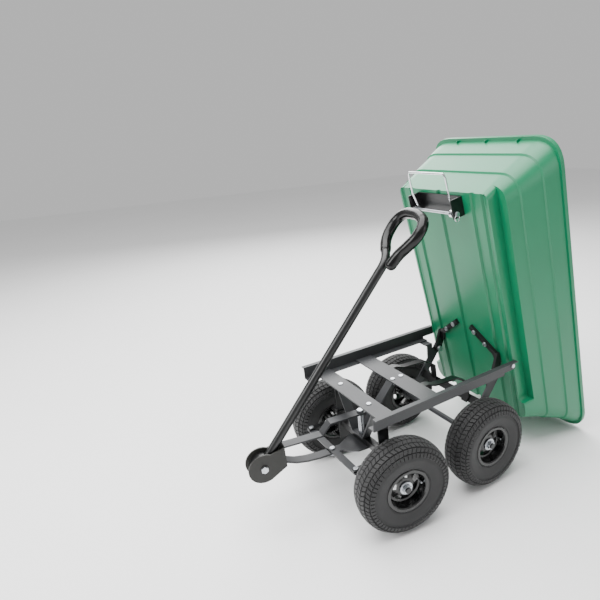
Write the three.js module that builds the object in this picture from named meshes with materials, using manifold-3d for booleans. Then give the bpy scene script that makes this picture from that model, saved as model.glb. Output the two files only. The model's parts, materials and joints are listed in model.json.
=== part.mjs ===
// Garden dump cart: a moulded poly tub that tips on a steel frame with four pneumatic wheels.
// Millimetres, +Z up. The hitch points along -X, the tipping end along +X, and +Y is the far side.
import * as THREE from 'three';
import { mergeVertices } from 'three/addons/utils/BufferGeometryUtils.js';
import { ParametricGeometry } from 'three/addons/geometries/ParametricGeometry.js';
import Module from 'manifold-3d';

const wasm = await Module();
wasm.setup();

// ---- driving dimensions ----------------------------------------------------------------------
const gap = 0.3;                    // air between neighbouring pieces
const wheelRadius = 127;            // 10 inch pneumatic tyre
const wheelHalfWidth = 42;
const trackHalf = 207;              // centre line of a wheel from the middle of the cart
const wheelBase = 275;
const steerAngle = THREE.MathUtils.degToRad(-8);      // the tongue is turned a little
const kingY = 128;                  // steering pivots of the front wheels
const armLength = 92;               // steering arm, and tongue pivot to tie rod bolt
const hitchReach = 281;             // tongue pivot to handle pivot
const hitchHeight = 174;
const handleLean = THREE.MathUtils.degToRad(39.4);    // handle leans back towards the tub
const handleNeck = 600;             // pivot to the start of the handle loop
const tubeRadius = 12;
const gripRadius = 15;
const railTop = 330;
const railWebY = 187;               // inner face of the rail web
const railFront = -346;
const railRear = 141;
const plateBottom = 297.3;
const plateThick = 4;
const frontPlateX = -288;
const middlePlateX = -144.5;
const pivotX = 116.4;               // tipping pivot, on the rear posts
const pivotZ = 274;
const tipAngle = THREE.MathUtils.degToRad(77.9);      // tub shown tipped up
const tubFloor = 304;               // underside of the tub when it lies level
const tubOrigin = -119.2;           // level tub: x of the tub's lengthwise zero
const tubWall = 4;
const tubDepth = 220;
const boltRadius = 4;
const middleOfLength = -83.5;       // middle of the cart's length, which becomes x = 0

// ---- materials -------------------------------------------------------------------------------
const finish = (color, roughness, metalness) => () =>
  new THREE.MeshStandardMaterial({ color, roughness, metalness });
const greenPoly = finish(0x2f9566, 0.45, 0);
const blackCoat = finish(0x1c1d1e, 0.5, 0.3);
const greyCoat = finish(0x5b5c5e, 0.5, 0.3);
const hitchGrey = finish(0x3a3a37, 0.6, 0.2);
const tyreRubber = finish(0x262626, 0.85, 0);
const gripRubber = finish(0x0e0e0f, 0.6, 0);
const zinc = finish(0xc4c6c8, 0.3, 0.9);
const chrome = finish(0xdadcde, 0.15, 1);

// ---- solids ----------------------------------------------------------------------------------
function solid(geometry) {
  const bare = geometry.index ? geometry.toNonIndexed() : geometry.clone();
  bare.deleteAttribute('normal');
  bare.deleteAttribute('uv');
  const merged = mergeVertices(bare, 1e-3);
  const index = merged.index.array;
  const kept = [];
  for (let i = 0; i < index.length; i += 3) {
    const [a, b, c] = [index[i], index[i + 1], index[i + 2]];
    if (a !== b && b !== c && c !== a) kept.push(a, b, c);
  }
  const vertProperties = new Float32Array(merged.attributes.position.array);
  return new wasm.Manifold(new wasm.Mesh({
    numProp: 3, vertProperties, triVerts: new Uint32Array(kept),
  }));
}

function geometryOf(manifold) {
  const mesh = manifold.getMesh();
  const geometry = new THREE.BufferGeometry();
  geometry.setAttribute('position', new THREE.BufferAttribute(new Float32Array(mesh.vertProperties), 3));
  geometry.setIndex(new THREE.BufferAttribute(new Uint32Array(mesh.triVerts), 1));
  return geometry;
}

const join = (...pieces) => pieces.reduce((whole, piece) => whole.add(piece));
const cut = (body, ...tools) => tools.reduce((left, tool) => left.subtract(tool), body);

function block(x0, x1, y0, y1, z0, z1) {
  const geometry = new THREE.BoxGeometry(x1 - x0, y1 - y0, z1 - z0);
  return solid(geometry.translate((x0 + x1) / 2, (y0 + y1) / 2, (z0 + z1) / 2));
}

const turnTo = {
  y: (geometry) => geometry,
  z: (geometry) => geometry.rotateX(Math.PI / 2),
};

// A cylinder from `from` to `to` along one axis, centred on the point given for that axis.
function rod(axis, radius, from, to, [x, y, z], sides = 14) {
  const geometry = turnTo[axis](new THREE.CylinderGeometry(radius, radius, to - from, sides));
  const middle = (from + to) / 2;
  const shift = { y: [x, middle, z], z: [x, y, middle] }[axis];
  return solid(geometry.translate(...shift));
}

// A bolt along one axis: a list of [radius, from, to, sides] stretches joined into one body.
function turned(axis, stretches, centre) {
  return join(...stretches.map(([radius, from, to, sides]) => rod(axis, radius, from, to, centre, sides)));
}

// The outline of a flat bar seen edge on, with mitred bends.
function stripShape(points, thickness) {
  const line = points.map(([a, b]) => new THREE.Vector2(a, b));
  const last = line.length - 1;
  const heading = (i) => line[i + 1].clone().sub(line[i]).normalize();
  const side = (sign) => line.map((point, i) => {
    const before = heading(Math.max(i - 1, 0));
    const after = heading(Math.min(i, last - 1));
    const along = before.clone().add(after).normalize();
    const normal = new THREE.Vector2(-along.y, along.x);
    const reach = thickness / 2 / normal.dot(new THREE.Vector2(-before.y, before.x));
    return point.clone().addScaledVector(normal, sign * reach);
  });
  return new THREE.Shape([...side(1), ...side(-1).reverse()]);
}

const planes = {
  xy: new THREE.Matrix4(),
  yz: new THREE.Matrix4().makeBasis(
    new THREE.Vector3(0, 1, 0), new THREE.Vector3(0, 0, 1), new THREE.Vector3(1, 0, 0)),
  xz: new THREE.Matrix4().makeBasis(
    new THREE.Vector3(1, 0, 0), new THREE.Vector3(0, 0, 1), new THREE.Vector3(0, -1, 0)),
};

// A shape drawn in one plane and given a width across it, from `from` to `to` on the third axis.
function slab(plane, shape, from, to) {
  const geometry = new THREE.ExtrudeGeometry(shape, { depth: to - from, bevelEnabled: false, curveSegments: 8 });
  geometry.translate(0, 0, plane === 'xz' ? -to : from);
  return solid(geometry.applyMatrix4(planes[plane]));
}

function polygon(points) {
  return new THREE.Shape(points.map(([a, b]) => new THREE.Vector2(a, b)));
}

// A round bar or tube along straight stretches with rounded bends.
function bentRod(points, radius, bend, sides = 10) {
  const path = new THREE.CurvePath();
  const corners = points.map((p) => new THREE.Vector3(...p));
  let start = corners[0];
  for (let i = 1; i < corners.length - 1; i += 1) {
    const back = corners[i - 1].clone().sub(corners[i]).normalize();
    const ahead = corners[i + 1].clone().sub(corners[i]).normalize();
    const into = corners[i].clone().addScaledVector(back, bend);
    const out = corners[i].clone().addScaledVector(ahead, bend);
    path.add(new THREE.LineCurve3(start, into));
    path.add(new THREE.QuadraticBezierCurve3(into, corners[i], out));
    start = out;
  }
  path.add(new THREE.LineCurve3(start, corners[corners.length - 1]));
  return sweep(path, radius, sides, 6 * (corners.length - 1));
}

function sweep(path, radius, sides, steps) {
  const ring = Array.from({ length: sides }, (_, i) => {
    const angle = (i / sides) * 2 * Math.PI;
    return new THREE.Vector2(radius * Math.cos(angle), radius * Math.sin(angle));
  });
  return solid(new THREE.ExtrudeGeometry(new THREE.Shape(ring), { extrudePath: path, steps }));
}

// A ring or disc turned about the Y axis from a closed list of [radius, y].
function lathe(profile, segments) {
  const closed = [...profile, profile[0]].map(([radius, y]) => new THREE.Vector2(radius, y));
  return solid(new THREE.LatheGeometry(closed, segments));
}

function node(parent, name, manifold, material) {
  const mesh = new THREE.Mesh(geometryOf(manifold), material());
  mesh.name = name;
  parent.add(mesh);
  return mesh;
}

const cart = new THREE.Group();
const sides = [['near', -1], ['far', 1]];
const mirrored = (sign, manifold) => (sign > 0 ? manifold : manifold.mirror([0, 1, 0]));

// ---- frame -----------------------------------------------------------------------------------
const frame = new THREE.Group();
cart.add(frame);

// Side rail: a Z section with its top flange turned out and a low flange turned in. Behind the
// tipping pivot only the web and top flange go on, inside the groove of the tub.
const railThick = 3;
const lowFlangeTop = plateBottom - gap;
const lowFlangeBottom = lowFlangeTop - railThick;
const lowFlangeY = 165;
const railOuterY = railWebY + 15;
const railShape = polygon([
  [railWebY, lowFlangeTop], [railWebY, railTop], [railOuterY, railTop], [railOuterY, railTop - railThick],
  [railWebY + railThick, railTop - railThick], [railWebY + railThick, lowFlangeBottom],
  [lowFlangeY, lowFlangeBottom], [lowFlangeY, lowFlangeTop],
]);
const railFlangeEnd = 98;
for (const [side, sign] of sides) {
  const rail = cut(
    slab('yz', railShape, railFront, railRear),
    block(railFlangeEnd, railRear + 1, lowFlangeY - 5, railOuterY + 5, lowFlangeBottom - 5, tubFloor - 2),
  );
  node(frame, `side_rail_${side}`, mirrored(sign, rail), greyCoat);
}

const plateTop = plateBottom + plateThick;
const plateHalf = railWebY - 0.5;
const frontBolts = [[frontPlateX, -75], [frontPlateX, 75]];
const middleBolts = [[-131, 0], [-160, 0]];
const drills = (points) => points.map(([x, y]) => rod('z', boltRadius + gap, 280, 310, [x, y, 0], 12));

const frontPlate = block(frontPlateX - 24, frontPlateX + 24, -plateHalf, plateHalf, plateBottom, plateTop);
node(frame, 'front_cross_plate', cut(frontPlate, ...drills(frontBolts)), greyCoat);
const middlePlate = block(middlePlateX - 27.5, middlePlateX + 27.5, -plateHalf, plateHalf, plateBottom, plateTop);
node(frame, 'middle_cross_plate', cut(middlePlate, ...drills(middleBolts)), greyCoat);

const braceThick = 5;
const flangeZ = plateBottom - gap - braceThick / 2;      // centre of a flange bolted under a plate
[...frontBolts, ...middleBolts].forEach(([x, y], i) => {
  const bolt = turned('z', [
    [7, plateTop + gap, plateTop + 2.2, 12],
    [boltRadius, 285, plateTop + 1, 12],
    [7.5, 285, flangeZ - braceThick / 2 - gap, 6],
  ], [x, y, 0]);
  node(frame, `plate_bolt_${i + 1}`, bolt, zinc);
});

// One flat bar bent into a V: its ends bolt under the front plate and its foot lies on the axle beam.
const beamBottom = 149;
const beamTop = 169;
const footZ = beamTop + gap + braceThick / 2;
const kingBolt = 6;
const kingX = -wheelBase;
const kingBrace = cut(
  slab('yz', stripShape([
    [58, flangeZ], [102, flangeZ], [26, footZ], [-26, footZ], [-102, flangeZ], [-58, flangeZ],
  ], braceThick), kingX - 17, kingX + 9.5),
  ...drills(frontBolts),
  rod('z', kingBolt + gap, 150, 190, [kingX, 0, 0]),
);
node(frame, 'king_brace', kingBrace, greyCoat);

// Flat strap from the middle plate down to the rear face of the axle beam.
const strapX = kingX + 10 + gap + braceThick / 2;
const strapFoot = 152;
const centreStrap = cut(
  slab('xz', stripShape([[-120, flangeZ], [-170, flangeZ], [strapX, 196], [strapX, strapFoot]], braceThick), -15, 15),
  ...drills(middleBolts),
);
node(frame, 'centre_strap', centreStrap, greyCoat);

const clevisInner = 104;
const beam = cut(
  block(kingX - 10, kingX + 10, -clevisInner + gap, clevisInner - gap, beamBottom, beamTop),
  rod('z', kingBolt + gap, 140, 180, [kingX, 0, 0]),
);
node(frame, 'front_axle_beam', beam, blackCoat);

const clevisTop = 197;
const clevisBottom = 108;
for (const [side, sign] of sides) {
  const clevis = cut(
    join(
      block(kingX - 18, kingX + 18, clevisInner, clevisInner + 5, clevisBottom, clevisTop),
      block(kingX - 18, kingX + 18, clevisInner, kingY + 16, clevisTop - 5, clevisTop),
      block(kingX - 18, kingX + 18, clevisInner, kingY + 16, clevisBottom, clevisBottom + 5),
    ),
    rod('z', kingBolt + gap, 100, 210, [kingX, kingY, 0]),
  );
  node(frame, `axle_clevis_${side}`, mirrored(sign, clevis), blackCoat);
  const pin = turned('z', [
    [kingBolt, clevisBottom - 6, clevisTop + 12, 12],
    [9.5, clevisBottom - 7, clevisBottom - gap, 12],
    [9.5, clevisTop + gap, clevisTop + 9, 6],
  ], [kingX, kingY, 0]);
  node(frame, `steering_pin_${side}`, mirrored(sign, pin), zinc);
  const postY = 112.5;
  const post = slab('yz', stripShape([[postY, clevisTop + gap], [postY, flangeZ], [156, flangeZ]], braceThick),
    kingX - 16, kingX + 16);
  node(frame, `front_post_${side}`, mirrored(sign, post), blackCoat);
}

// Rear axle, with a post each side that slopes back up to the tipping pivot under the rail.
const axleRadius = 8;
const axleEnd = trackHalf + 35;
node(frame, 'rear_axle', rod('y', axleRadius, -axleEnd, axleEnd, [0, 0, wheelRadius]), greyCoat);

const postAngle = Math.atan2(pivotZ - wheelRadius, pivotX);
const postLength = Math.hypot(pivotX, pivotZ - wheelRadius);
const postInner = 137;
const pivotPin = 5;
const crossBar = { at: 88, thick: 5, half: 12 };
const alongPost = (distance, offset = 0) => [
  distance * Math.cos(postAngle) - offset * Math.sin(postAngle),
  wheelRadius + distance * Math.sin(postAngle) + offset * Math.cos(postAngle),
];
function sloped(manifold) {
  return manifold.rotate([0, -THREE.MathUtils.radToDeg(postAngle), 0]).translate([0, 0, wheelRadius]);
}
const postFootY = 157;
const postHeadY = postInner + braceThick / 2;
const postFlange = { rear: 70, front: 96, outer: 184, top: lowFlangeBottom - gap, thick: 4 };
for (const [side, sign] of sides) {
  const bar = stripShape([
    [-15, postFootY], [30, postFootY], [70, postHeadY], [postLength + 14, postHeadY],
  ], braceThick);
  const tab = block(postFlange.rear + 6, postFlange.front, postInner, postInner + braceThick, 247, postFlange.top);
  const flange = block(postFlange.rear, postFlange.front, postInner, postFlange.outer,
    postFlange.top - postFlange.thick, postFlange.top);
  const post = cut(
    join(sloped(slab('xy', bar, -14, 14)), tab, flange),
    rod('y', axleRadius + gap, 140, 170, [0, 0, wheelRadius]),
    rod('y', pivotPin + gap, 130, 150, [pivotX, 0, pivotZ]),
  );
  node(frame, `rear_post_${side}`, mirrored(sign, post), greyCoat);
  const pin = turned('y', [
    [pivotPin, 121, 146, 12],
    [9, 118, 126.5, 12],
    [8.5, 142 + gap, 149, 6],
  ], [pivotX, 0, pivotZ]);
  node(frame, `tipping_pin_${side}`, mirrored(sign, pin), zinc);
}

const crossBarHalf = postInner - gap;
const crossBarSolid = sloped(block(
  crossBar.at - crossBar.half, crossBar.at + crossBar.half,
  -crossBarHalf, crossBarHalf, -crossBar.thick / 2, crossBar.thick / 2,
));
node(frame, 'rear_cross_bar', crossBarSolid, blackCoat);

// Two bent flat bars tie the cross bar to the middle plate.
for (const [side, sign] of sides) {
  const [barX, barZ] = alongPost(crossBar.at + 4, crossBar.thick / 2 + gap + braceThick / 2);
  const [endX, endZ] = alongPost(crossBar.at - 16, crossBar.thick / 2 + gap + braceThick / 2);
  const brace = slab('xz', stripShape([
    [-168, flangeZ], [-100, flangeZ], [-72, 284], [8, 278], [barX - 4, 252], [barX, barZ], [endX, endZ],
  ], braceThick), 66, 90);
  node(frame, `rear_brace_${side}`, mirrored(sign, brace), blackCoat);
}

// ---- wheels ----------------------------------------------------------------------------------
const tyreProfile = [
  [51.8, -33], [60, -33], [76, -41], [96, -wheelHalfWidth], [114, -38], [123, -28], [wheelRadius, -6],
  [wheelRadius, 6], [123, 28], [114, 38], [96, wheelHalfWidth], [76, 41], [60, 33], [51.8, 33],
];
const rimProfile = [
  [8.4, -24], [15, -24], [15, 0], [45, 0], [48, -36.5], [58.5, -36.5], [58.5, -33.3], [51.5, -33],
  [51.5, 33], [58.5, 33.3], [58.5, 36.5], [48, 36.5], [45, 4], [15, 4], [15, 22], [8.4, 22],
];
const tyreSolid = lathe(tyreProfile, 32);
const rimSolid = lathe(rimProfile, 20);
const nutSolid = cut(
  rod('y', 12, 22.4, 31, [0, 0, 0], 6),
  rod('y', axleRadius + gap, 20, 35, [0, 0, 0], 12),
);

function wheel(parent, name, y, sign) {
  const place = new THREE.Group();
  place.position.set(0, y, wheelRadius);
  parent.add(place);
  const facing = (manifold) => (sign > 0 ? manifold : manifold.mirror([0, 1, 0]));
  node(place, `tyre_${name}`, facing(tyreSolid), tyreRubber);
  node(place, `rim_${name}`, facing(rimSolid), blackCoat);
  node(place, `hub_nut_${name}`, facing(nutSolid), zinc);
}
for (const [side, sign] of sides) wheel(frame, `rear_${side}`, sign * trackHalf, sign);

// ---- steering --------------------------------------------------------------------------------
// Each knuckle is a tube on its steering pin, with a stub axle outwards and an arm forwards.
const tieBar = { bottom: 148.8, top: 152.8 };
const armBottom = tieBar.top + gap;
const armTop = armBottom + 5;
for (const [side, sign] of sides) {
  const knuckle = new THREE.Group();
  knuckle.position.set(kingX, sign * kingY, 0);
  knuckle.rotation.z = steerAngle;
  cart.add(knuckle);
  const body = cut(
    join(
      rod('z', 10.5, clevisBottom + 5 + gap, clevisTop - 5 - gap, [0, 0, 0]),
      rod('y', axleRadius, 4, axleEnd - kingY, [0, 0, wheelRadius]),
      rod('y', 12, 4, trackHalf - kingY - 26, [0, 0, wheelRadius]),
      block(-armLength - 10, 0, -9, 9, armBottom, armTop),
    ),
    rod('z', kingBolt + gap, 90, 220, [0, 0, 0], 12),
    rod('z', boltRadius + gap, 140, 170, [-armLength, 0, 0], 12),
  );
  node(knuckle, `knuckle_${side}`, mirrored(sign, body), blackCoat);
  wheel(knuckle, `front_${side}`, sign * (trackHalf - kingY), sign);
}

const tieRod = new THREE.Group();
tieRod.position.set(kingX - armLength * Math.cos(steerAngle), -armLength * Math.sin(steerAngle), 0);
cart.add(tieRod);
const tieBolts = sides.map(([, sign]) => turned('z', [
  [7, armTop + gap, armTop + 3.5, 12],
  [boltRadius, tieBar.bottom - 4, armTop + 2, 12],
  [7, tieBar.bottom - 6, tieBar.bottom - gap, 6],
], [0, sign * kingY, 0]));
const tieBlank = block(-10, 10, -kingY - 11, kingY + 11, tieBar.bottom, tieBar.top);
const tieHoles = [-kingY, 0, kingY].map((y) => rod('z', boltRadius + gap, 140, 160, [0, y, 0], 12));
node(tieRod, 'tie_rod', cut(tieBlank, ...tieHoles), greyCoat);
tieBolts.forEach((bolt, i) => node(tieRod, `tie_rod_bolt_${sides[i][0]}`, bolt, zinc));

// Tongue: an upper and a lower flat bar from the king bolt to the hitch block.
const tongue = new THREE.Group();
tongue.position.set(kingX, 0, 0);
tongue.rotation.z = steerAngle;
cart.add(tongue);
const webX = -(hitchReach - 58);
const upperZ = 238;
const lowerZ = beamBottom - gap - 2.8;
const upperBar = cut(
  join(
    slab('xz', stripShape([[webX + gap, 213], [-118, 209], [-92, upperZ], [0, upperZ]], braceThick), -15, 15),
    rod('z', 15, upperZ - 2.5, upperZ + 2.5, [0, 0, 0], 24),
  ),
  rod('z', kingBolt + gap, 220, 260, [0, 0, 0], 12),
);
node(tongue, 'tongue_upper_bar', upperBar, greyCoat);
const lowerBar = cut(
  join(
    slab('xz', stripShape([[webX + gap + 1, 168], [-196, 156], [-165, 149], [-130, lowerZ], [20, lowerZ]], braceThick),
      -15, 15),
    slab('xy', polygon([[-66, -15], [-30, -42], [24, -42], [24, 42], [-30, 42], [-66, 15]]),
      lowerZ - 2.5, lowerZ + 2.5),
  ),
  rod('z', kingBolt + gap, 130, 160, [0, 0, 0], 12),
  rod('z', boltRadius + gap, 130, 160, [-armLength, 0, 0], 12),
);
node(tongue, 'tongue_lower_bar', lowerBar, greyCoat);

const tongueBolt = turned('z', [
  [7.5, tieBar.top + gap, tieBar.top + 4, 12],
  [boltRadius, 134, tieBar.top + 2, 12],
  [7.5, 134, lowerZ - 2.5 - gap, 6],
], [-armLength, 0, 0]);
node(tongue, 'tongue_bolt', tongueBolt, zinc);
const kingPin = turned('z', [
  [kingBolt, lowerZ - 14, upperZ + 6, 12],
  [10, upperZ + 2.5 + gap, upperZ + 9, 6],
  [10, lowerZ - 12, lowerZ - 2.5 - gap, 6],
  [9, footZ + 2.5 + gap, upperZ - 2.5 - gap, 20],
], [0, 0, 0]);
node(tongue, 'king_pin', kingPin, zinc);

// Hitch block: two cheeks and a rear web, with the handle's eye between the cheeks.
const hitch = new THREE.Group();
hitch.position.set(-hitchReach, 0, hitchHeight);
tongue.add(hitch);
const cheekShape = new THREE.Shape();
cheekShape.moveTo(20, 35);
cheekShape.absarc(0, 0, 40, Math.PI * 0.33, Math.PI * 1.62, false);
cheekShape.lineTo(58, -13);
cheekShape.lineTo(58, 42);
const cheek = { inner: 17, outer: 22 };
const hitchPin = 6;
const hitchBlock = cut(
  join(
    slab('xz', cheekShape, cheek.inner, cheek.outer),
    slab('xz', cheekShape, -cheek.outer, -cheek.inner),
    slab('xz', polygon([[40, -23], [58, -13], [58, 42], [52, 36], [40, -2]]), -cheek.inner - 1, cheek.inner + 1),
  ),
  rod('y', hitchPin + gap, -30, 30, [0, 0, 0]),
);
node(hitch, 'hitch_block', hitchBlock, hitchGrey);
const hitchPinSolid = turned('y', [
  [hitchPin, -28, 28, 12],
  [10, cheek.outer + gap, 28, 12],
  [10, -29, -cheek.outer - gap, 6],
], [0, 0, 0]);
node(hitch, 'hitch_pin', hitchPinSolid, zinc);

// ---- handle ----------------------------------------------------------------------------------
const handle = new THREE.Group();
handle.rotation.y = handleLean;
hitch.add(handle);
// Loop of the handle in its own plane: [along the handle, across it].
const loopPoints = [
  [handleNeck, 0], [622, 8], [646, 34], [672, 60], [706, 71], [738, 66], [756, 44],
  [761, 6], [757, -36], [740, -68], [708, -76], [672, -60], [646, -44], [614, -36],
];
const loopCurve = new THREE.CatmullRomCurve3(loopPoints.map(([u, v]) => new THREE.Vector3(0, v, u)), false);
const gripStart = 0.13;
const gripPath = new THREE.CatmullRomCurve3(
  Array.from({ length: 25 }, (_, i) => loopCurve.getPointAt(gripStart + (1 - gripStart) * (i / 24))), false);
const gripOuter = sweep(gripPath, gripRadius, 10, 30);
const gripTip = solid(new THREE.SphereGeometry(gripRadius, 10, 6).translate(0, -36, 614));
const handleTube = join(
  sweep(loopCurve, tubeRadius, 10, 34),
  rod('z', tubeRadius, 20, handleNeck, [0, 0, 0], 10),
  rod('y', 30, -cheek.inner + gap, cheek.inner - gap, [0, 0, 0], 24),
  solid(new THREE.SphereGeometry(tubeRadius, 10, 6).translate(0, 0, handleNeck)),
);
const gripHollow = sweep(loopCurve, tubeRadius + gap, 10, 34);
node(handle, 'handle_tube', cut(
  handleTube,
  rod('y', hitchPin + gap, -30, 30, [0, 0, 0], 12),
), blackCoat);
node(handle, 'handle_grip', cut(join(gripOuter, gripTip), gripHollow), gripRubber);

// ---- tub -------------------------------------------------------------------------------------
// The tub is drawn lying level, from its tipping pivot, and then turned up about it.
const tub = new THREE.Group();
tub.position.set(pivotX, 0, pivotZ);
tub.rotation.y = tipAngle;
cart.add(tub);
const floorZ = tubFloor - pivotZ;
const tubX = (t) => tubOrigin - pivotX - t;       // t grows towards the front of the tub

// Rings of the tub's outside: [height, front, rear, half width, corner radius].
const tubRings = [
  [0, 305, -400, railWebY + 20, 44],
  [76, 330, -447, 219, 58],
  [79, 335, -452, 224, 62],
  [148, 357, -497, 234, 68],
  [151, 362, -502, 239, 72],
  [tubDepth - 14, 380, -548, 245, 76],
  [tubDepth - 14, 391, -560, 250, 80],
  [tubDepth, 391, -560, 250, 80],
];
const cornerSteps = 7;
const ringPoint = (share, [height, front, rear, halfWidth, corner], inset) => {
  const count = 4 * (cornerSteps + 1);
  const i = Math.round(share * count) % count;
  const quarter = Math.floor(i / (cornerSteps + 1));
  const angle = ((i % (cornerSteps + 1)) / cornerSteps + quarter) * (Math.PI / 2);
  const [signX, signY] = [[1, 1], [-1, 1], [-1, -1], [1, -1]][quarter];
  const [halfX, halfY] = [(front - rear) / 2 - inset, halfWidth - inset];
  const round = corner - inset;
  const x = tubX((front + rear) / 2) + signX * (halfX - round) + round * Math.cos(angle);
  const y = signY * (halfY - round) + round * Math.sin(angle);
  return [x, y, floorZ + height];
};
function loft(rings, inset) {
  const levels = [rings[0], ...rings, rings[rings.length - 1]];
  const geometry = new ParametricGeometry((u, v, target) => {
    const level = Math.round(v * (levels.length - 1));
    const [x, y, z] = ringPoint(u, levels[level], inset);
    const middle = level === 0 || level === levels.length - 1;
    target.set(middle ? tubX((levels[level][1] + levels[level][2]) / 2) : x, middle ? 0 : y, z);
  }, 4 * (cornerSteps + 1), levels.length - 1);
  return solid(geometry);
}
const grooveDeep = 36;
const grooveFront = 322;
const grooveRear = -336;
// The side groove that takes a rail: open to the outside below the first wall tier.
function groove(sign, grow) {
  const outline = new THREE.Shape();
  const inner = railWebY - 1 - grow;
  const outer = railWebY + 40;
  outline.moveTo(tubX(grooveFront + grow), outer);
  outline.lineTo(tubX(grooveFront + grow), inner + 20);
  outline.quadraticCurveTo(tubX(grooveFront + grow), inner, tubX(grooveFront + grow) + 24, inner);
  outline.lineTo(tubX(grooveRear - grow) - 40, inner);
  outline.quadraticCurveTo(tubX(grooveRear - grow), inner, tubX(grooveRear - grow), inner + 24);
  outline.lineTo(tubX(grooveRear - grow), outer);
  return mirrored(sign, slab('xy', outline, floorZ - 20, floorZ + grooveDeep + grow));
}
const innerRings = tubRings.slice(0, 6).map(([h, ...rest], i) => [i === 0 ? tubWall : h + tubWall, ...rest]);
innerRings.push([tubDepth + 10, 384, -553, 245, 76]);
const shell = cut(
  cut(loft(tubRings, 0), groove(1, 0), groove(-1, 0)),
  cut(loft(innerRings, tubWall), groove(1, tubWall), groove(-1, tubWall)),
);
node(tub, 'tub_shell', shell, greenPoly);

// Tipping legs: a flat bar bolted under the tub, bent back to an ear on the tipping pin.
const earT = tubOrigin - pivotX;
const legTop = floorZ - gap;
const legThick = 9;
for (const [side, sign] of sides) {
  const flat = stripShape([
    [tubX(-116), 30], [tubX(-180), 119], [tubX(-212), 130],
  ], 17);
  const ear = polygon([
    [tubX(-176), legTop], [tubX(-176), legTop - legThick], [earT - tubX(0) - 10, -9], [-4, -12],
    [6, -11], [12, -4], [12, 5], [6, 11], [tubX(-214), legTop - 2], [tubX(-208), legTop],
  ]);
  const holes = [[-129, 48.2], [-158, 88.5]];
  const leg = cut(
    join(
      slab('xy', flat, legTop - legThick, legTop),
      slab('xz', ear, 127, 136.3),
    ),
    rod('y', pivotPin + gap, 110, 150, [0, 0, 0], 12),
    ...holes.map(([t, y]) => rod('z', boltRadius + gap, 0, 60, [tubX(t), y, 0], 12)),
  );
  node(tub, `tipping_leg_${side}`, mirrored(sign, leg), blackCoat);
  holes.forEach(([t, y], i) => {
    const bolt = turned('z', [
      [7.5, legTop - legThick - 4.5, legTop - legThick - gap, 12],
      [boltRadius, legTop - legThick - 2, legTop - gap, 12],
    ], [tubX(t), y, 0]);
    node(tub, `leg_bolt_${side}_${i + 1}`, mirrored(sign, bolt), zinc);
  });
}

// Latch: a folded bracket under the front of the tub, a cross rod and a wire bail.
const latch = { front: 296, rear: 244, half: 92, deep: 40, thick: 3 };
const bracket = cut(
  block(tubX(latch.front), tubX(latch.rear), -latch.half, latch.half, legTop - latch.deep, legTop),
  block(tubX(latch.front) - 1, tubX(latch.rear) + 1, -latch.half + latch.thick, latch.half - latch.thick,
    legTop - latch.deep - 1, legTop - latch.thick),
  rod('y', boltRadius + gap, -120, 120, [tubX(256), 0, legTop - 28], 12),
);
node(tub, 'latch_bracket', bracket, blackCoat);
const latchRod = turned('y', [
  [boltRadius, -latch.half - 6, latch.half + 6, 12],
  [7, latch.half + gap, latch.half + 6, 6],
  [7, -latch.half - 6, -latch.half - gap, 12],
], [tubX(256), 0, legTop - 28]);
node(tub, 'latch_rod', latchRod, zinc);

// The bail is one wire loop with an eye round the rod each side, reaching out past the tub's front.
const wire = 3;
const bailHalf = 78;
const bailAt = [tubX(256), 0, legTop - 28];
const bailWire = bentRod([
  [bailAt[0], -bailHalf, bailAt[2] + 9], [tubX(300), -bailHalf, bailAt[2] - 3],
  [tubX(362), -bailHalf, bailAt[2] - 3], [tubX(362), bailHalf, bailAt[2] - 3],
  [tubX(300), bailHalf, bailAt[2] - 3], [bailAt[0], bailHalf, bailAt[2] + 9],
], wire, 8, 8);
const bail = cut(
  join(
    bailWire,
    ...[-bailHalf, bailHalf].map((y) => rod('y', 11, y - 5, y + 5, bailAt, 12)),
  ),
  rod('y', boltRadius + gap, -110, 110, bailAt, 12),
);
node(tub, 'latch_bail', bail, chrome);

cart.position.x = -middleOfLength;

export default cart;
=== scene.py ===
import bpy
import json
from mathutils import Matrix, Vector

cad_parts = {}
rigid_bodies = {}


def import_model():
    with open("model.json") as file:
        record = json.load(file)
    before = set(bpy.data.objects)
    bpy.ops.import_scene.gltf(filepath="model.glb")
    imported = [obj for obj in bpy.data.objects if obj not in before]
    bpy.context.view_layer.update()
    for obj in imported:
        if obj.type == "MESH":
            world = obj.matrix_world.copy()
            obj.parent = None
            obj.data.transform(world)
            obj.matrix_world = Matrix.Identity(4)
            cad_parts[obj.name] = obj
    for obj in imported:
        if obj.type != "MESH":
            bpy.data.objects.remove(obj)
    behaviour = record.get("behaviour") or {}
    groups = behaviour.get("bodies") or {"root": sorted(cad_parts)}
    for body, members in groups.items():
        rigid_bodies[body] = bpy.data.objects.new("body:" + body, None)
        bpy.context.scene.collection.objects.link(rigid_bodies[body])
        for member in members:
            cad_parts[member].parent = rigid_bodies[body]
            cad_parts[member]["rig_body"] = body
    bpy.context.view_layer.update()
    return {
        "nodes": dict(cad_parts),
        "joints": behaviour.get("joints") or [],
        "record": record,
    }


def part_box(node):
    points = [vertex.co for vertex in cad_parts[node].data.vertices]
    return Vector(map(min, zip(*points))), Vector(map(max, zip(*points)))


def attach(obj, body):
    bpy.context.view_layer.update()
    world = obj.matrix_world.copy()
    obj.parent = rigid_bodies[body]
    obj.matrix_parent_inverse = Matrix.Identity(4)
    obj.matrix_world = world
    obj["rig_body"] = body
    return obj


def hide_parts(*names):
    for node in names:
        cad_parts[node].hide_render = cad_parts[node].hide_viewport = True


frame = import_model()

import json
import math
import bpy
import bmesh
from mathutils import Matrix, Vector

# Looks of the garden dump cart. Metres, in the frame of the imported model.
jointNamed = {joint["name"]: joint for joint in frame["joints"]}
samePlace = 1e-6                                    # points closer than this are one point
zToY = Matrix.Rotation(-math.pi / 2, 4, "X")
mmPerMetre = 1000


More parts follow.
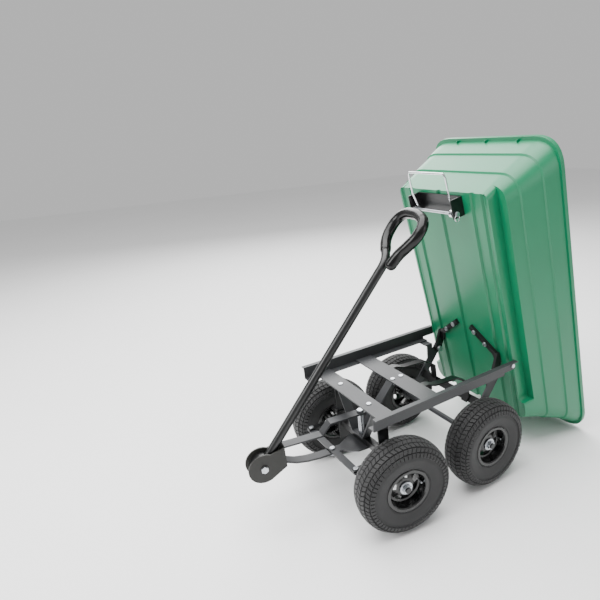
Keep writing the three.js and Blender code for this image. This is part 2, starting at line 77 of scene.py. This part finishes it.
def linear(hexCode):
    channels = [int(hexCode[i:i + 2], 16) / 255 for i in (1, 3, 5)]
    return [c / 12.92 if c <= 0.04045 else ((c + 0.055) / 1.055) ** 2.4 for c in channels] + [1.0]


def addNode(tree, kind, values=None, links=None, **settings):
    made = tree.nodes.new(kind)
    for key, value in settings.items():
        setattr(made, key, value)
    for key, value in (values or {}).items():
        made.inputs[key].default_value = value
    for key, socket in (links or {}).items():
        tree.links.new(socket, made.inputs[key])
    return made


def addNoise(tree, place, size, detail):
    values = {"Scale": mmPerMetre / size, "Detail": detail}
    return addNode(tree, "ShaderNodeTexNoise", values, {"Vector": place}).outputs["Fac"]


# light and dark hex, mottle and grain size and grain height in mm, lowest and highest roughness,
# and the plain shader values
finishes = {
    # rotomoulded polyethylene: satin, waxy, with a faint leather grain that softens highlights
    "mouldedPolyethylene": dict(
        light="#0a7a52", dark="#066a45", mottle=160, grain=1.6, height=0.05, rough=(0.3, 0.42),
        shader={"IOR": 1.51, "Metallic": 0.0}),
    # powder coat on steel bar: orange peel about 2 mm across, satin
    "greyPowderCoat": dict(
        light="#3a3b3d", dark="#2b2c2e", mottle=70, grain=1.8, height=0.04, rough=(0.34, 0.5),
        shader={"IOR": 1.5, "Metallic": 0.25}),
    # black powder coat, glossier than the rails
    "blackPowderCoat": dict(
        light="#0b0c0d", dark="#060707", mottle=60, grain=1.8, height=0.035, rough=(0.26, 0.42),
        shader={"IOR": 1.5, "Metallic": 0.1, "Coat Weight": 0.2, "Coat Roughness": 0.25}),
    # stove enamel on pressed steel wheel discs
    "blackEnamel": dict(
        light="#0a0a0b", dark="#050606", mottle=40, grain=2.5, height=0.02, rough=(0.2, 0.34),
        shader={"IOR": 1.52, "Metallic": 0.1, "Coat Weight": 0.35, "Coat Roughness": 0.15}),
    # brushed-on charcoal paint over a rough steel hitch
    "charcoalPaint": dict(
        light="#2a2a27", dark="#191917", mottle=18, grain=1.2, height=0.09, rough=(0.42, 0.6),
        shader={"IOR": 1.5, "Metallic": 0.2}),
    # cured tyre rubber: matt, slightly dusty, greyer where it has bloomed
    "vulcanisedRubber": dict(
        light="#1c1c1d", dark="#0f0f10", mottle=30, grain=1.4, height=0.08, rough=(0.62, 0.82),
        shader={"IOR": 1.52, "Metallic": 0.0, "Sheen Weight": 0.12, "Sheen Roughness": 0.5}),
    # dipped grip sleeve: smooth and shiny with wide soft highlights
    "dippedRubber": dict(
        light="#040505", dark="#020202", mottle=24, grain=1.1, height=0.03, rough=(0.16, 0.28),
        shader={"IOR": 1.53, "Metallic": 0.0, "Specular IOR Level": 0.32}),
    # bright zinc plate: pale metal with cloudy roughness
    "zincPlate": dict(
        light="#d3d6da", dark="#a9adb2", mottle=9, grain=0.9, height=0.02, rough=(0.2, 0.4),
        shader={"Metallic": 0.95}),
    # nickel-bright drawn wire
    "brightWire": dict(
        light="#e6e8ea", dark="#cfd2d5", mottle=14, grain=0.8, height=0.01, rough=(0.08, 0.18),
        shader={"Metallic": 1.0}),
    # pale studio floor board
    "paleFloor": dict(
        light="#f4f4f4", dark="#efefef", mottle=900, grain=6.0, height=0.02, rough=(0.7, 0.8),
        shader={"IOR": 1.45, "Metallic": 0.0}),
}


def makeMaterial(name, look):
    material = bpy.data.materials.new(name)
    material.use_nodes = True
    tree = material.node_tree
    shader = tree.nodes["Principled BSDF"]
    for key, value in look["shader"].items():
        shader.inputs[key].default_value = value
    place = addNode(tree, "ShaderNodeTexCoord").outputs["Object"]
    mottle = addNoise(tree, place, look["mottle"], 5.0)
    grain = addNoise(tree, place, look["grain"], 2.0)
    # a colour mix has its factor at socket 0, its colours at 6 and 7, and its result at output 2
    colour = addNode(tree, "ShaderNodeMix", {6: linear(look["dark"]), 7: linear(look["light"])},
                     {0: mottle}, data_type="RGBA")
    smoothest, roughest = look["rough"]
    rough = addNode(tree, "ShaderNodeMapRange", {"To Min": smoothest, "To Max": roughest}, {"Value": mottle})
    bump = addNode(tree, "ShaderNodeBump", {"Strength": 1.0, "Distance": look["height"] / mmPerMetre},
                   {"Height": grain})
    tree.links.new(colour.outputs[2], shader.inputs["Base Color"])
    tree.links.new(rough.outputs["Result"], shader.inputs["Roughness"])
    tree.links.new(bump.outputs["Normal"], shader.inputs["Normal"])
    return material


materials = {name: makeMaterial(name, look) for name, look in finishes.items()}
slotFinish = {
    "tub_poly": "mouldedPolyethylene", "frame_paint": "greyPowderCoat", "black_paint": "blackPowderCoat",
    "rim_paint": "blackEnamel", "hitch_paint": "charcoalPaint", "tyre": "vulcanisedRubber",
    "grip_rubber": "dippedRubber", "zinc_fasteners": "zincPlate", "bail_wire": "brightWire",
}
print("materials made:", len(materials))


def finishPiece(bm, name, body, slotName, replaced=(), smoothAngle=35):
    mesh = bpy.data.meshes.new(name)
    bm.to_mesh(mesh)
    openEdges = sum(1 for e in bm.edges if len(e.link_faces) != 2)
    if openEdges:
        print("open edges:", name, openEdges)
    bm.free()
    piece = bpy.data.objects.new(name, mesh)
    bpy.context.scene.collection.objects.link(piece)
    mesh.materials.append(materials[slotFinish[slotName]])
    mesh.shade_smooth()
    mesh.set_sharp_from_angle(angle=math.radians(smoothAngle))
    evenNormals = piece.modifiers.new("evenNormals", "WEIGHTED_NORMAL")
    evenNormals.keep_sharp = True
    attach(piece, body)
    if replaced:
        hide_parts(*replaced)


def softenEdges(bm, width, angle=35):
    limit = math.radians(angle)
    edges = [e for e in bm.edges if len(e.link_faces) == 2 and e.calc_face_angle(0) > limit]
    bmesh.ops.bevel(bm, geom=edges, offset=width, offset_type="OFFSET", segments=2, profile=0.5,
                    affect="EDGES", clamp_overlap=True, material=-1)


def addDisc(bm, place, radius, low, high, sides, edge):
    # a cylinder along local Z from low to high, with softened rims
    part = bmesh.new()
    bmesh.ops.create_cone(part, cap_ends=True, segments=sides, radius1=radius, radius2=radius,
                          depth=high - low)
    rims = [e for e in part.edges if abs(e.verts[0].co.z - e.verts[1].co.z) < samePlace]
    bmesh.ops.bevel(part, geom=rims, offset=edge, segments=2, profile=0.5, affect="EDGES", material=-1)
    bmesh.ops.translate(part, verts=part.verts, vec=(0, 0, (low + high) / 2))
    bmesh.ops.transform(part, matrix=place, verts=part.verts)
    joinInto(bm, part)


def joinInto(bm, part):
    holder = bpy.data.meshes.new("holder")
    part.to_mesh(holder)
    part.free()
    bm.from_mesh(holder)
    bpy.data.meshes.remove(holder)


def tubeAlong(points, radius, cyclic=False):
    # a round tube through the points, with smooth bends
    curve = bpy.data.curves.new("line", "CURVE")
    curve.dimensions = "3D"
    curve.resolution_u = 6
    curve.bevel_depth = radius
    curve.bevel_resolution = 6
    curve.use_fill_caps = True
    spline = curve.splines.new("BEZIER")
    spline.bezier_points.add(len(points) - 1)
    spline.use_cyclic_u = cyclic
    for knot, point in zip(spline.bezier_points, points):
        knot.co = point
        knot.handle_left_type = knot.handle_right_type = "AUTO"
    holder = bpy.data.objects.new("line", curve)
    bpy.context.scene.collection.objects.link(holder)
    mesh = bpy.data.meshes.new_from_object(holder.evaluated_get(bpy.context.evaluated_depsgraph_get()))
    bm = bmesh.new()
    bm.from_mesh(mesh)
    bmesh.ops.remove_doubles(bm, verts=bm.verts, dist=samePlace)
    bmesh.ops.recalc_face_normals(bm, faces=bm.faces)
    bpy.data.objects.remove(holder)
    bpy.data.curves.remove(curve)
    bpy.data.meshes.remove(mesh)
    return bm


# the tub is one moulded shell: a belly that is narrow between the rails, tiers of wall and a rolled rim
tub = dict(
    tilt=77.9, lengthZero=-0.2356, floorUp=0.030,      # how it sits on its pivot
    wall=0.004, edge=0.0018, edgeAngle=28, smoothAngle=40, arcSteps=7, weld=1e-5,
    bottom=(0.305, -0.400, 0.207, 0.044),              # front, rear, half width, corner
    # height, front, rear, half width, corner
    tiers=[(0.036, 0.3168, -0.4223, 0.2127, 0.0506), (0.076, 0.330, -0.447, 0.219, 0.058),
           (0.079, 0.335, -0.452, 0.224, 0.062), (0.148, 0.357, -0.497, 0.234, 0.068),
           (0.151, 0.362, -0.502, 0.239, 0.072), (0.2055, 0.380, -0.548, 0.245, 0.076)],
    rim=[(0.2055, 0.3905, -0.5595, 0.2495, 0.079), (0.2075, 0.391, -0.560, 0.250, 0.080),
         (0.2180, 0.391, -0.560, 0.250, 0.080), (0.2200, 0.3895, -0.5585, 0.2485, 0.079)],
    innerRim=(0.2200, 0.3780, -0.5470, 0.2430, 0.074),
    belly=dict(halfWidth=0.186, notch=-0.336, corner=0.020, notchInside=0.014, notchOutside=0.006),
    split=0.008, splitCorner=0.004,      # spare corners on the wall's straight side, to match the belly's
    ribLines=[0.170, 0.125, 0.001, -0.129, -0.170], ribHalf=0.005, ribSlope=0.004, ribDeep=0.0055,
)
pivot = Vector(jointNamed["tub_tilt"]["pos_m"])
tubPlace = Matrix.Translation(pivot) @ Matrix.Rotation(math.radians(tub["tilt"]), 4, "Y")


def tubPoint(t, y, h):
    return Vector((tub["lengthZero"] - t, y, tub["floorUp"] + h))


def cornerLoop(side, height):
    # points round an outline; side has the corners of one half as (t, y, how far the rounding reaches)
    corners = side + [(t, -y, reach) for t, y, reach in reversed(side)]
    points = []
    for i, (t, y, reach) in enumerate(corners):
        here = Vector((t, y))
        before = (Vector(corners[i - 1][:2]) - here).normalized() * reach
        after = (Vector(corners[(i + 1) % len(corners)][:2]) - here).normalized() * reach
        for step in range(tub["arcSteps"] + 1):
            s = step / tub["arcSteps"]
            spot = here + before * (1 - s) ** 2 + after * s ** 2
            points.append(tubPoint(spot.x, spot.y, height))
    return points


def wallLoop(tier, inset=0.0, lift=0.0):
    height, front, rear, half, corner = tier
    front, rear, half, corner = front - inset, rear + inset, half - inset, corner - inset
    notch, split = tub["belly"]["notch"], tub["split"]
    spare = [(t, half, tub["splitCorner"]) for t in (notch + split, notch - split)]
    return cornerLoop([(front, half, corner), *spare, (rear, half, corner)], height + lift)


def bellyLoop(height, front, rear, outer, corner, inset=0.0):
    belly = tub["belly"]
    notch, narrow, wide = belly["notch"] - inset, belly["halfWidth"] - inset, outer - inset
    return cornerLoop([(front - inset, narrow, belly["corner"]), (notch, narrow, belly["notchInside"]),
                       (notch, wide, belly["notchOutside"]), (rear + inset, wide, corner)], height)


def loopEdges(bm, loop):
    return [bm.edges.get((loop[i - 1], loop[i])) for i in range(len(loop))]


def extrudeLoop(bm, loop, target):
    made = bmesh.ops.extrude_edge_only(bm, edges=loopEdges(bm, loop))
    fresh = {v for v in made["geom"] if isinstance(v, bmesh.types.BMVert)}
    following = []
    for old, place in zip(loop, target):
        new = next(e.other_vert(old) for e in old.link_edges if e.other_vert(old) in fresh)
        new.co = place
        following.append(new)
    return following


def ribFloor(bm, loop):
    # fills a loop, scores it along the rib lines and presses the ribs in
    floor = set(bmesh.ops.contextual_create(bm, geom=loopEdges(bm, loop))["faces"])
    level = loop[0].co.z
    half, foot = tub["ribHalf"], tub["ribHalf"] + tub["ribSlope"]
    for y in [rib + off for rib in tub["ribLines"] for off in (-foot, -half, half, foot)]:
        edges, verts = {e for f in floor for e in f.edges}, {v for f in floor for v in f.verts}
        cutMade = bmesh.ops.bisect_plane(bm, geom=[*floor, *edges, *verts], dist=samePlace,
                                         plane_co=(0, y, 0), plane_no=(0, 1, 0))
        floor = {g for g in cutMade["geom"] if isinstance(g, bmesh.types.BMFace) and g.is_valid
                 and abs(g.normal.z) > 0.9 and all(abs(v.co.z - level) < samePlace for v in g.verts)}
    pressed = [rib + off for rib in tub["ribLines"] for off in (-half, half)]
    for v in {v for f in floor for v in f.verts}:
        if any(abs(v.co.y - y) < 2 * tub["weld"] for y in pressed):
            v.co.z += tub["ribDeep"]


def buildTub():
    bm = bmesh.new()
    bellyTop, *ledge = tub["tiers"][0]
    wall = tub["wall"]
    bottom = [bm.verts.new(p) for p in bellyLoop(0.0, *tub["bottom"])]
    for i in range(len(bottom)):
        bm.edges.new((bottom[i - 1], bottom[i]))
    loop = extrudeLoop(bm, bottom, bellyLoop(bellyTop, *ledge))
    for tier in tub["tiers"] + tub["rim"] + [tub["innerRim"]]:
        loop = extrudeLoop(bm, loop, wallLoop(tier))
    for tier in reversed(tub["tiers"]):
        loop = extrudeLoop(bm, loop, wallLoop(tier, wall, wall))
    loop = extrudeLoop(bm, loop, bellyLoop(bellyTop + wall, *ledge, inset=wall))
    inside = extrudeLoop(bm, loop, bellyLoop(wall, *tub["bottom"], inset=wall))
    ribFloor(bm, bottom)
    ribFloor(bm, inside)
    bmesh.ops.remove_doubles(bm, verts=bm.verts, dist=tub["weld"])
    bmesh.ops.dissolve_degenerate(bm, edges=bm.edges, dist=tub["weld"])
    softenEdges(bm, tub["edge"], angle=tub["edgeAngle"])
    bmesh.ops.transform(bm, matrix=tubPlace, verts=bm.verts)
    bmesh.ops.recalc_face_normals(bm, faces=bm.faces)
    finishPiece(bm, "moulded_tub", "tub", "tub_poly", ["tub_shell"], tub["smoothAngle"])


# small webs that hold the rolled rim to the front wall
rimWeb = dict(size=(0.007, 0.003, 0.012), edge=0.0005, forward=0.3815, height=0.2005,
              across=(-0.12, 0.0, 0.12))


def buildRimWebs():
    webs = bmesh.new()
    for y in rimWeb["across"]:
        part = bmesh.new()
        bmesh.ops.create_cube(part, size=1)
        bmesh.ops.scale(part, vec=rimWeb["size"], verts=part.verts)
        softenEdges(part, rimWeb["edge"])
        bmesh.ops.translate(part, vec=tubPoint(rimWeb["forward"], y, rimWeb["height"]), verts=part.verts)
        bmesh.ops.transform(part, matrix=tubPlace, verts=part.verts)
        joinInto(webs, part)
    finishPiece(webs, "rim_webs", "tub", "tub_poly")


buildTub()
buildRimWebs()
print("tub done")

tyre = dict(
    steps=60, smoothAngle=32, treadInset=0.0013, treadDeep=0.0045, treadFrom=0.099, laneTolerance=1e-5,
    bore=[(0.0500, -0.0310), (0.0500, 0.0310)],
    # radius and offset from the middle, from bead to bead over the crown
    wallSide=[(0.0520, 0.0320), (0.0600, 0.0345), (0.0640, 0.0372), (0.0665, 0.0368), (0.0760, 0.0398),
              (0.0860, 0.0412), (0.0885, 0.0418), (0.0905, 0.0412), (0.0960, 0.0412)],
    crown=[(0.1080, 0.0385), (0.1165, 0.0300), (0.1205, 0.0160), (0.1220, 0.0)],
)
rim = dict(
    steps=60, smoothAngle=32, bore=[(0.0500, -0.0325), (0.0500, 0.0325)],
    barrel=[(0.0515, 0.0325), (0.0515, 0.0345), (0.0575, 0.0350), (0.0590, 0.0362), (0.0575, 0.0374),
            (0.0510, 0.0368), (0.0485, 0.0340), (0.0470, 0.0220), (0.0455, 0.0080)],
    dish=[(0.0455, 0.0080), (0.0400, 0.0060), (0.0330, 0.0085), (0.0250, 0.0130), (0.0200, 0.0145),
          (0.0150, 0.0145)],
    windows=5, windowShare=0.5, windowFrom=0.026, windowTo=0.041, plate=0.0022,
    hub=dict(radius=0.0155, low=-0.0235, high=0.0215, sides=36, edge=0.001),
    hubFace=dict(radius=0.0115, low=0.0215, high=0.0228, sides=36, edge=0.0003),
)
wheelTrim = dict(
    bearingCap=dict(radius=0.0175, low=0.0160, high=0.0224, sides=36, edge=0.0014),
    valveStem=dict(radius=0.0028, low=0.002, high=0.024, sides=16, edge=0.0006), valveOut=0.043,
)


def spinProfile(profile, steps):
    # turns (radius, offset) points about local Y
    bm = bmesh.new()
    verts = [bm.verts.new((radius, y, 0)) for radius, y in profile]
    edges = [bm.edges.new(pair) for pair in zip(verts, verts[1:])]
    bmesh.ops.spin(bm, geom=verts + edges, cent=(0, 0, 0), axis=(0, 1, 0), angle=2 * math.pi, steps=steps,
                   use_merge=True, use_duplicate=False)
    bmesh.ops.remove_doubles(bm, verts=bm.verts, dist=samePlace)
    bmesh.ops.recalc_face_normals(bm, faces=bm.faces)
    return bm


def spinRadius(point):
    return math.hypot(point.x, point.z)


def buildTyre():
    outward = tyre["wallSide"] + tyre["crown"]
    profile = outward + [(r, -y) for r, y in reversed(outward[:-1])] + tyre["bore"] + [outward[0]]
    bm = spinProfile(profile, tyre["steps"])
    # every other crown line is turned half a step, so the blocks lean as a herringbone
    halfStep = Matrix.Rotation(math.pi / tyre["steps"], 3, "Y")
    lanes = [y for _, y in tyre["crown"][1::2]]
    for v in bm.verts:
        if any(abs(abs(v.co.y) - y) < tyre["laneTolerance"] for y in lanes):
            v.co = halfStep @ v.co
    crownFaces = [f for f in bm.faces if spinRadius(f.calc_center_median()) > tyre["treadFrom"]]
    bm.normal_update()
    bmesh.ops.inset_individual(bm, faces=crownFaces, thickness=tyre["treadInset"], depth=tyre["treadDeep"],
                               use_even_offset=True)
    return bm


def buildRim():
    barrel = rim["barrel"] + [(r, -y) for r, y in reversed(rim["barrel"])]
    bm = spinProfile(barrel + rim["bore"] + [barrel[0]], rim["steps"])
    disc = spinProfile(rim["dish"], rim["steps"])
    span = rim["steps"] // rim["windows"]
    cutFaces = []
    for f in disc.faces:
        centre = f.calc_center_median()
        step = int((math.atan2(centre.z, centre.x) % (2 * math.pi)) / (2 * math.pi) * rim["steps"])
        inBand = rim["windowFrom"] < spinRadius(centre) < rim["windowTo"]
        if inBand and step % span < span * rim["windowShare"]:
            cutFaces.append(f)
    bmesh.ops.delete(disc, geom=cutFaces, context="FACES")
    bmesh.ops.solidify(disc, geom=disc.faces[:], thickness=rim["plate"])
    bmesh.ops.recalc_face_normals(disc, faces=disc.faces)
    joinInto(bm, disc)
    addDisc(bm, zToY, **rim["hub"])
    addDisc(bm, zToY, **rim["hubFace"])
    return bm


def swungPlace(middle, joint):
    # the place of a body that turns about a level axis, with local Y along that axis
    axis = Vector(jointNamed[joint]["axis"])
    return Matrix.Translation(middle) @ Matrix.Rotation(math.atan2(-axis.x, axis.y), 4, "Z")


def buildWheel(end, word, sign):
    side = f"{end}_{word}"
    body = f"wheel_{side}"
    low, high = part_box(f"tyre_{side}")
    place = swungPlace((low + high) / 2, f"{body}_spin") @ Matrix.Scale(sign, 4, (0, 1, 0))
    for make, kind, slotName, smooth in ((buildTyre, "tyre", "tyre", tyre["smoothAngle"]),
                                         (buildRim, "rim", "rim_paint", rim["smoothAngle"])):
        bm = make()
        bmesh.ops.transform(bm, matrix=place, verts=bm.verts)
        if sign < 0:
            bmesh.ops.reverse_faces(bm, faces=bm.faces)
        finishPiece(bm, f"detailed_{kind}_{side}", body, slotName, [f"{kind}_{side}"], smooth)
    trim = bmesh.new()      # zinc bearing cap, and the valve stem in a window
    outwards = place @ zToY
    addDisc(trim, outwards, **wheelTrim["bearingCap"])
    addDisc(trim, outwards @ Matrix.Translation((wheelTrim["valveOut"], 0, 0)), **wheelTrim["valveStem"])
    bmesh.ops.recalc_face_normals(trim, faces=trim.faces)
    finishPiece(trim, f"wheel_trim_{side}", body, "zinc_fasteners")


for end in ("front", "rear"):
    for word, sign in (("near", -1), ("far", 1)):
        buildWheel(end, word, sign)
print("wheels done")

# the handle is a tube bent into a loop, with a dipped grip; places are (along the handle, across it)
handle = dict(
    lean=39.4, tube=0.012, grip=0.0148, gripFrom=2, neck=(0.024, 0.2, 0.4, 0.55, 0.585),
    eye=dict(radius=0.030, low=-0.0165, high=0.0165, sides=48, edge=0.0015),
    loop=[(0.600, 0), (0.622, 0.008), (0.646, 0.034), (0.672, 0.060), (0.706, 0.071), (0.738, 0.066),
          (0.756, 0.044), (0.761, 0.006), (0.757, -0.036), (0.740, -0.068), (0.708, -0.076), (0.672, -0.060),
          (0.646, -0.044), (0.614, -0.036)],
)


def buildHandle():
    middle = jointNamed["handle_swing"]["pos_m"]
    place = swungPlace(middle, "handle_swing") @ Matrix.Rotation(math.radians(handle["lean"]), 4, "Y")
    loopLine = [(0, across, along) for along, across in handle["loop"]]
    neckLine = [(0, 0, along) for along in handle["neck"]]
    tubeMesh = tubeAlong(neckLine + loopLine, handle["tube"])
    addDisc(tubeMesh, Matrix.Rotation(math.pi / 2, 4, "X"), **handle["eye"])
    bmesh.ops.transform(tubeMesh, matrix=place, verts=tubeMesh.verts)
    finishPiece(tubeMesh, "bent_handle_tube", "handle", "black_paint", ["handle_tube"])
    gripLine = loopLine[handle["gripFrom"]:]
    gripMesh = tubeAlong(gripLine, handle["grip"])
    for spot in (gripLine[-1], gripLine[0]):
        tip = bmesh.new()
        bmesh.ops.create_uvsphere(tip, u_segments=28, v_segments=14, radius=handle["grip"])
        bmesh.ops.translate(tip, vec=spot, verts=tip.verts)
        joinInto(gripMesh, tip)
    bmesh.ops.transform(gripMesh, matrix=place, verts=gripMesh.verts)
    finishPiece(gripMesh, "dipped_handle_grip", "handle", "grip_rubber", ["handle_grip"])


buildHandle()
print("handle done")

# every other node keeps its shape, with welded faces and softened edges
softened = dict(
    stoodFor=("tub_shell", "tyre_", "rim_", "handle_tube", "handle_grip"),      # these have pieces already
    weld=2e-6, flatAngle=0.6, edge=0.0006, smoothAngle=35, wireSmoothAngle=50,
    edgeOf={"zinc_fasteners": 0.0008, "bail_wire": 0.0002, "hitch_paint": 0.0012},
)
slotOfNode = {row["node"]: row["material_slot"] for row in frame["record"]["subparts"]}


def softenNode(name):
    node, slotName = frame["nodes"][name], slotOfNode[name]
    bm = bmesh.new()
    bm.from_mesh(node.data)
    bmesh.ops.remove_doubles(bm, verts=bm.verts, dist=softened["weld"])
    bmesh.ops.dissolve_limit(bm, angle_limit=math.radians(softened["flatAngle"]), verts=bm.verts,
                             edges=bm.edges, use_dissolve_boundaries=False)
    softenEdges(bm, softened["edgeOf"].get(slotName, softened["edge"]))
    smoothAngle = softened["wireSmoothAngle" if "bail" in name else "smoothAngle"]
    finishPiece(bm, f"softened_{name}", node["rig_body"], slotName, [name], smoothAngle)


for name in sorted(frame["nodes"]):
    if not name.startswith(softened["stoodFor"]):
        softenNode(name)
print("bars and fasteners done")

# small trim that only the looks carry
railBolt = dict(x=0.2145, z=0.315, disc=dict(radius=0.0065, low=0.1902, high=0.1940, sides=28, edge=0.0012))
rodClip = dict(ring=0.008, wire=0.0013, drop=0.011, inward=0.003, steps=12)


def buildRailBolts():
    bolts = bmesh.new()
    rear = Matrix.Translation((railBolt["x"], 0, railBolt["z"]))
    for sign in (-1, 1):
        addDisc(bolts, rear @ Matrix.Rotation(-sign * math.pi / 2, 4, "X"), **railBolt["disc"])
    finishPiece(bolts, "rail_end_bolts", "frame", "zinc_fasteners")


def buildRodClip():
    low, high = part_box("latch_rod")
    middle = (low + high) / 2
    ring = []
    for step in range(rodClip["steps"]):
        turn = 2 * math.pi * step / rodClip["steps"]
        ring.append((middle.x + rodClip["ring"] * math.cos(turn), low.y + rodClip["inward"],
                     middle.z - rodClip["drop"] + rodClip["ring"] * math.sin(turn)))
    finishPiece(tubeAlong(ring, rodClip["wire"], True), "latch_rod_clip", "tub", "bail_wire")


buildRailBolts()
buildRodClip()
print("trim done")

studio = dict(
    floorHalf=9, floorDrop=0.0005, lookAt=(0, 0, 0.4), skyStrength=0.6,
    lamps={      # place, size, watts
        "overheadSoftbox": ((-0.4, 0.2, 3.2), 3.4, 260), "frontLeftSoftbox": ((-2.8, 0.4, 2.0), 1.4, 60),
        "rightFill": ((1.6, -2.8, 1.5), 1.4, 14), "backRim": ((1.0, 2.8, 2.4), 2.4, 120),
    },
)
floorMesh = bmesh.new()
bmesh.ops.create_grid(floorMesh, x_segments=2, y_segments=2, size=studio["floorHalf"])
bmesh.ops.translate(floorMesh, vec=(0, 0, -studio["floorDrop"]), verts=floorMesh.verts)
floorData = bpy.data.meshes.new("floor")
floorMesh.to_mesh(floorData)
floorMesh.free()
floorData.materials.append(materials["paleFloor"])
floor = bpy.data.objects.new("floor", floorData)
bpy.context.scene.collection.objects.link(floor)

for name, (spot, size, watts) in studio["lamps"].items():
    data = bpy.data.lights.new(name, "AREA")
    data.size, data.energy = size, watts
    lamp = bpy.data.objects.new(name, data)
    lamp.location = spot
    lamp.rotation_euler = (Vector(studio["lookAt"]) - Vector(spot)).to_track_quat("-Z", "Y").to_euler()
    bpy.context.scene.collection.objects.link(lamp)
world = bpy.data.worlds.new("paleStudio")
world.use_nodes = True
sky = world.node_tree.nodes["Background"]
sky.inputs["Color"].default_value = (1, 1, 1, 1)
sky.inputs["Strength"].default_value = studio["skyStrength"]
bpy.context.scene.world = world
print("floor and lamps done")

view = dict(place=(-0.7845, -1.098, 0.965), yaw=35.2, pitch=20.1, roll=-3.3, lens=30.42, sensor=36,
            shift=(-0.18, 0.0283))
yaw, pitch, roll = (math.radians(view[key]) for key in ("yaw", "pitch", "roll"))
forward = Vector((math.sin(yaw) * math.cos(pitch), math.cos(yaw) * math.cos(pitch), -math.sin(pitch)))
right = Vector((math.cos(yaw), -math.sin(yaw), 0))
up = right.cross(forward)
cameraRight = right * math.cos(roll) + up * math.sin(roll)
cameraUp = up * math.cos(roll) - right * math.sin(roll)
cameraData = bpy.data.cameras.new("camera")
cameraData.lens, cameraData.sensor_width = view["lens"], view["sensor"]
cameraData.shift_x, cameraData.shift_y = view["shift"]
camera = bpy.data.objects.new("camera", cameraData)
facing = Matrix((cameraRight, cameraUp, -forward)).transposed().to_4x4()
camera.matrix_world = Matrix.Translation(view["place"]) @ facing
bpy.context.scene.collection.objects.link(camera)
bpy.context.scene.camera = camera
